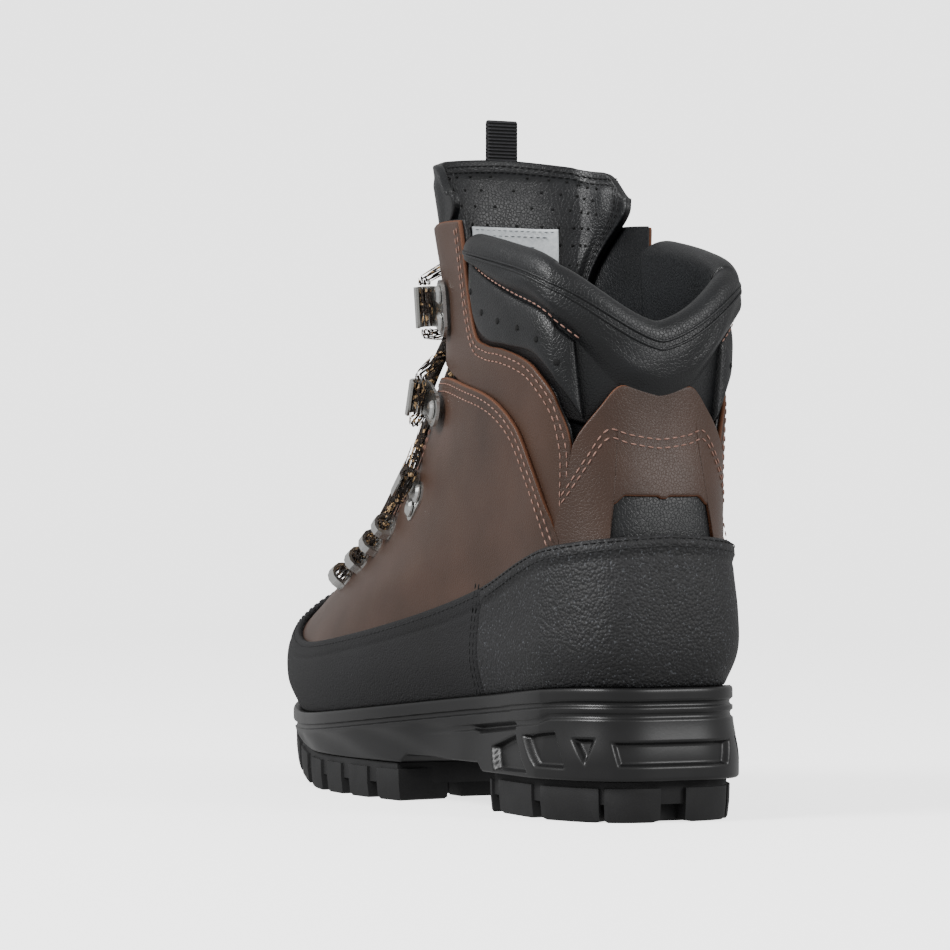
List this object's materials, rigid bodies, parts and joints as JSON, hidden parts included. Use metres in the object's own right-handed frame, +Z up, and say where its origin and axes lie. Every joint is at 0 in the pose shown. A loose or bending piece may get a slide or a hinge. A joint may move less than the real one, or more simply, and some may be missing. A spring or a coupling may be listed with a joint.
{
  "type": "mountaineering boot",
  "caption": "Left leather mountaineering boot, ankle high, with rubber rand, lugged block-heel sole, padded collar, laced throat with metal hooks, and a padded tongue with a pull loop.",
  "frame": {"origin": "on the floor, in the middle of the forefoot tread's flat underside, 150 mm behind the toe tip", "axes": "+Z up, -Y towards the toe, +Y towards the heel, +X towards the outer side of a left foot"},
  "size_m": [0.1114, 0.3014, 0.2537],
  "materials": {
    "sole_rubber": "moulded, semi-gloss",
    "rand_rubber": "pebbled, matt",
    "brown_leather": "smooth, satin",
    "black_leather": "smooth, soft sheen",
    "webbing": "ribbed weave",
    "label_textile": "woven, matt",
    "lining_textile": "knitted mesh",
    "footbed_textile": "felt",
    "board": "fibre board",
    "shank_steel": "spring steel",
    "satin_metal": "satin nickel",
    "lace_cord": "braided, flecked",
    "aglet_plastic": "film tip"
  },
  "bodies": {
    "boot": {"heel_tread": "sole_rubber", "forefoot_tread": "sole_rubber", "midsole": "sole_rubber", "shank": "shank_steel", "lasting_board": "board", "footbed": "footbed_textile", "lining_foot": "lining_textile", "lining_shaft": "lining_textile", "toe_puff": "board", "heel_counter": "board", "heel_rand": "rand_rubber", "toe_rand": "rand_rubber", "vamp": "brown_leather", "quarter_outer": "brown_leather", "quarter_inner": "brown_leather", "back_panel": "brown_leather", "heel_window": "black_leather", "collar": "black_leather", "collar_pad_outer": "black_leather", "collar_pad_inner": "black_leather", "flex_pad_outer": "black_leather", "flex_pad_inner": "black_leather", "tongue_base": "black_leather", "tongue_label": "label_textile", "eyelet_1_outer": "satin_metal", "eyelet_2_outer": "satin_metal", "eyelet_3_outer": "satin_metal", "eyelet_4_outer": "satin_metal", "lock_hook_outer": "satin_metal", "lock_hook_rivet_1_outer": "satin_metal", "lock_hook_rivet_2_outer": "satin_metal", "mid_hook_outer": "satin_metal", "mid_hook_rivet_1_outer": "satin_metal", "top_hook_outer": "satin_metal", "top_hook_rivet_1_outer": "satin_metal", "top_hook_rivet_2_outer": "satin_metal", "eyelet_1_inner": "satin_metal", "eyelet_2_inner": "satin_metal", "eyelet_3_inner": "satin_metal", "eyelet_4_inner": "satin_metal", "lock_hook_inner": "satin_metal", "lock_hook_rivet_1_inner": "satin_metal", "lock_hook_rivet_2_inner": "satin_metal", "mid_hook_inner": "satin_metal", "mid_hook_rivet_1_inner": "satin_metal", "top_hook_inner": "satin_metal", "top_hook_rivet_1_inner": "satin_metal", "top_hook_rivet_2_inner": "satin_metal", "lace": "lace_cord", "bow_knot": "lace_cord", "bow_loop_outer": "lace_cord", "bow_loop_inner": "lace_cord", "lace_end_outer": "lace_cord", "lace_end_inner": "lace_cord", "aglet_outer": "aglet_plastic", "aglet_inner": "aglet_plastic"},
    "tongue_top": {"tongue_top": "black_leather"},
    "pull_loop": {"pull_loop": "webbing"}
  },
  "joints": [
    {"name": "tongue_nod", "type": "hinge", "parent": "boot", "child": "tongue_top", "pos_m": [0, 0.0155, 0.2194], "axis": [1, 0, 0], "range_deg": [0, 22]},
    {"name": "pull_loop_flop", "type": "hinge", "parent": "tongue_top", "child": "pull_loop", "pos_m": [0, 0.01172, 0.24135], "axis": [1, 0, 0], "range_deg": [-55, 55]}
  ]
}
